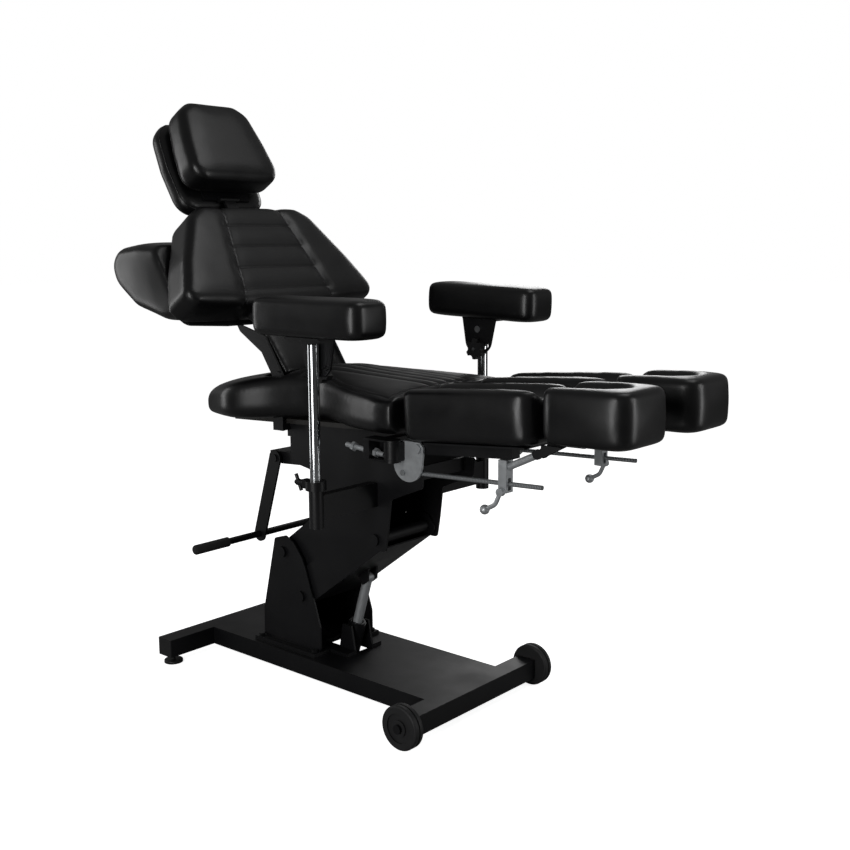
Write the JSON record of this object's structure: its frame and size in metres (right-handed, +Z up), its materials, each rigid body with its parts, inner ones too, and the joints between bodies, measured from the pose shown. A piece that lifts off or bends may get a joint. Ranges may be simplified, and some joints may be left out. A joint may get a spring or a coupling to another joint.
{
  "type": "tattoo chair",
  "caption": "Padded black tattoo chair on a wheeled base with a parallelogram lift, armrests, split leg rests, reclining back, headrest and rear bolster.",
  "frame": {"origin": "centre of the whole chair's bounding box in plan, on the floor", "axes": "+X towards the foot end, +Y to the far side, +Z up"},
  "size_m": [1.6265, 0.721, 1.5534],
  "materials": {
    "frame_black": "satin black powder coat",
    "vinyl": "soft black vinyl with a sheen",
    "chrome": "bright plated",
    "zinc": "dull zinc plate",
    "rubber": "matt",
    "tyre": "matt",
    "plastic": "fine grain",
    "board": "painted dark",
    "steel": "bright steel"
  },
  "bodies": {
    "base": {"rear_tube": "frame_black", "front_tube": "frame_black", "base_channel": "frame_black", "tube_caps": "plastic", "column": "frame_black", "base_fasteners": "frame_black"},
    "carriage": {"carriage": "frame_black", "seat_frame": "frame_black", "stop_screws": "zinc", "seat_board": "board", "seat_cushion": "vinyl", "arm_carrier_near": "frame_black", "arm_carrier_far": "frame_black"},
    "wheel_near": {"wheel_near": "tyre"},
    "wheel_far": {"wheel_far": "tyre"},
    "level_foot_near": {"level_foot_near": "plastic"},
    "level_foot_far": {"level_foot_far": "plastic"},
    "lift_cylinder": {"lift_cylinder": "frame_black"},
    "lift_ram": {"lift_ram": "zinc"},
    "lower_arm": {"lower_arm": "frame_black"},
    "upper_arm": {"upper_arm": "frame_black"},
    "control_bar": {"control_bar": "frame_black", "bar_grip": "rubber"},
    "back": {"back_frame": "frame_black", "back_cushion": "vinyl", "rear_bolster": "vinyl"},
    "head_bar": {"head_bar": "frame_black"},
    "headrest": {"head_plate": "frame_black", "head_pad": "vinyl", "head_pad_rear": "vinyl"},
    "post_collar_near": {"post_collar_near": "frame_black"},
    "collar_handle_near": {"collar_handle_near": "frame_black"},
    "arm_post_near": {"arm_post_near": "chrome"},
    "armrest_near": {"tilt_plate_near": "frame_black", "arm_pad_near": "vinyl"},
    "arm_knob_near": {"arm_knob_near": "plastic"},
    "knee_near": {"knee_block_near": "frame_black", "knee_quadrant_near": "zinc"},
    "leg_near": {"leg_rail_near": "frame_black", "calf_pad_near": "vinyl", "leg_fittings_near": "chrome"},
    "stay_rod_near": {"stay_rod_near": "steel"},
    "leg_lever_near": {"leg_lever_near": "chrome"},
    "foot_near": {"foot_bracket_near": "frame_black", "foot_pad_near": "vinyl"},
    "post_collar_far": {"post_collar_far": "frame_black"},
    "collar_handle_far": {"collar_handle_far": "frame_black"},
    "arm_post_far": {"arm_post_far": "chrome"},
    "armrest_far": {"tilt_plate_far": "frame_black", "arm_pad_far": "vinyl"},
    "arm_knob_far": {"arm_knob_far": "plastic"},
    "knee_far": {"knee_block_far": "frame_black", "knee_quadrant_far": "zinc"},
    "leg_far": {"leg_rail_far": "frame_black", "calf_pad_far": "vinyl", "leg_fittings_far": "chrome"},
    "stay_rod_far": {"stay_rod_far": "steel"},
    "leg_lever_far": {"leg_lever_far": "chrome"},
    "foot_far": {"foot_bracket_far": "frame_black", "foot_pad_far": "vinyl"}
  },
  "joints": [
    {"name": "lift", "type": "hinge", "parent": "base", "child": "lower_arm", "pos_m": [-0.2569, 0, 0.224], "axis": [0, -1, 0], "range_deg": [-28, 12]},
    {"name": "upper_arm_swing", "type": "hinge", "parent": "base", "child": "upper_arm", "pos_m": [-0.3264, 0, 0.336], "axis": [0, -1, 0], "range_deg": [-28, 12]},
    {"name": "carriage_level", "type": "hinge", "parent": "lower_arm", "child": "carriage", "pos_m": [0.02079, 0, 0.42873], "axis": [0, 1, 0], "range_deg": [-28, 12]},
    {"name": "cylinder_swing", "type": "hinge", "parent": "base", "child": "lift_cylinder", "pos_m": [-0.1494, 0, 0.134], "axis": [0, -1, 0], "range_deg": [-21, 9]},
    {"name": "ram_swing", "type": "hinge", "parent": "lower_arm", "child": "lift_ram", "pos_m": [-0.10253, 0, 0.2834], "axis": [0, 1, 0], "range_deg": [-9, 4]},
    {"name": "wheel_near_spin", "type": "hinge", "parent": "base", "child": "wheel_near", "pos_m": [0.2506, 0, 0.054], "axis": [0, 1, 0], "continuous": true},
    {"name": "wheel_far_spin", "type": "hinge", "parent": "base", "child": "wheel_far", "pos_m": [0.2506, 0, 0.054], "axis": [0, 1, 0], "continuous": true},
    {"name": "level_foot_near_turn", "type": "hinge", "parent": "base", "child": "level_foot_near", "pos_m": [-0.6134, -0.264, 0.012], "axis": [0, 0, 1], "continuous": true},
    {"name": "level_foot_far_turn", "type": "hinge", "parent": "base", "child": "level_foot_far", "pos_m": [-0.6134, 0.264, 0.012], "axis": [0, 0, 1], "continuous": true},
    {"name": "control_bar_swing", "type": "hinge", "parent": "carriage", "child": "control_bar", "pos_m": [-0.3334, 0, 0.596], "axis": [0, 1, 0], "range_deg": [-10, 24]},
    {"name": "recline", "type": "hinge", "parent": "carriage", "child": "back", "pos_m": [-0.30052, 0, 0.81337], "axis": [0, -1, 0], "range_deg": [-25, 25]},
    {"name": "head_slide", "type": "slide", "parent": "back", "child": "head_bar", "axis": [-0.5563, 0, 0.831], "range_m": [0, 0.08]},
    {"name": "head_tilt", "type": "hinge", "parent": "head_bar", "child": "headrest", "pos_m": [-0.62849, 0, 1.28459], "axis": [0, -1, 0], "range_deg": [-20, 20]},
    {"name": "arm_swivel_near", "type": "hinge", "parent": "carriage", "child": "post_collar_near", "pos_m": [0.0196, -0.298, 0.6], "axis": [0, 0, -1], "range_deg": [-60, 60]},
    {"name": "collar_handle_turn_near", "type": "hinge", "parent": "post_collar_near", "child": "collar_handle_near", "pos_m": [-0.0234, -0.298, 0.6013], "axis": [1, 0, 0], "range_deg": [-90, 90]},
    {"name": "arm_height_near", "type": "slide", "parent": "post_collar_near", "child": "arm_post_near", "axis": [0, 0, 1], "range_m": [-0.09, 0.04]},
    {"name": "arm_tilt_near", "type": "hinge", "parent": "arm_post_near", "child": "armrest_near", "pos_m": [0.0196, -0.298, 0.92], "axis": [0, 1, 0], "range_deg": [-28, 28]},
    {"name": "arm_knob_turn_near", "type": "hinge", "parent": "arm_post_near", "child": "arm_knob_near", "pos_m": [0.0196, -0.298, 0.868], "axis": [0, 1, 0], "continuous": true},
    {"name": "leg_splay_near", "type": "hinge", "parent": "carriage", "child": "knee_near", "pos_m": [0.1946, -0.222, 0.69], "axis": [0, 0, -1], "range_deg": [0, 18]},
    {"name": "leg_raise_near", "type": "hinge", "parent": "knee_near", "child": "leg_near", "pos_m": [0.2546, -0.2, 0.702], "axis": [0, -1, 0], "range_deg": [-60, 0]},
    {"name": "stay_rod_swing_near", "type": "hinge", "parent": "knee_near", "child": "stay_rod_near", "pos_m": [0.2086, -0.19, 0.641], "axis": [0, -1, 0], "range_deg": [-56, 0]},
    {"name": "leg_lever_turn_near", "type": "hinge", "parent": "leg_near", "child": "leg_lever_near", "pos_m": [0.4926, -0.1902, 0.6365], "axis": [0, 1, 0], "range_deg": [-40, 40]},
    {"name": "foot_fold_near", "type": "hinge", "parent": "leg_near", "child": "foot_near", "pos_m": [0.5826, -0.1902, 0.728], "axis": [0, -1, 0], "range_deg": [-45, 0]},
    {"name": "arm_swivel_far", "type": "hinge", "parent": "carriage", "child": "post_collar_far", "pos_m": [0.0496, 0.298, 0.6], "axis": [0, 0, 1], "range_deg": [-60, 60]},
    {"name": "collar_handle_turn_far", "type": "hinge", "parent": "post_collar_far", "child": "collar_handle_far", "pos_m": [0.0066, 0.298, 0.6013], "axis": [1, 0, 0], "range_deg": [-90, 90]},
    {"name": "arm_height_far", "type": "slide", "parent": "post_collar_far", "child": "arm_post_far", "axis": [0, 0, 1], "range_m": [-0.09, 0.026]},
    {"name": "arm_tilt_far", "type": "hinge", "parent": "arm_post_far", "child": "armrest_far", "pos_m": [0.0496, 0.298, 0.934], "axis": [0, 1, 0], "range_deg": [-28, 28]},
    {"name": "arm_knob_turn_far", "type": "hinge", "parent": "arm_post_far", "child": "arm_knob_far", "pos_m": [0.0496, 0.298, 0.882], "axis": [0, 1, 0], "continuous": true},
    {"name": "leg_splay_far", "type": "hinge", "parent": "carriage", "child": "knee_far", "pos_m": [0.1946, 0.222, 0.69], "axis": [0, 0, 1], "range_deg": [0, 18]},
    {"name": "leg_raise_far", "type": "hinge", "parent": "knee_far", "child": "leg_far", "pos_m": [0.2546, 0.2, 0.702], "axis": [0, -1, 0], "range_deg": [-60, 0]},
    {"name": "stay_rod_swing_far", "type": "hinge", "parent": "knee_far", "child": "stay_rod_far", "pos_m": [0.2086, 0.19, 0.641], "axis": [0, -1, 0], "range_deg": [-56, 0]},
    {"name": "leg_lever_turn_far", "type": "hinge", "parent": "leg_far", "child": "leg_lever_far", "pos_m": [0.4926, 0.1902, 0.6365], "axis": [0, 1, 0], "range_deg": [-40, 40]},
    {"name": "foot_fold_far", "type": "hinge", "parent": "leg_far", "child": "foot_far", "pos_m": [0.5826, 0.1902, 0.728], "axis": [0, -1, 0], "range_deg": [-45, 0]}
  ],
  "couplings": [
    {"joint": "stay_rod_swing_near", "follows": "leg_raise_near", "ratio": 0.92},
    {"joint": "stay_rod_swing_far", "follows": "leg_raise_far", "ratio": 0.92},
    {"joint": "upper_arm_swing", "follows": "lift", "ratio": 1},
    {"joint": "carriage_level", "follows": "lift", "ratio": 1},
    {"joint": "cylinder_swing", "follows": "lift", "ratio": 0.71},
    {"joint": "ram_swing", "follows": "lift", "ratio": 0.29},
    {"joint": "control_bar_swing", "follows": "lift", "ratio": -0.8}
  ]
}
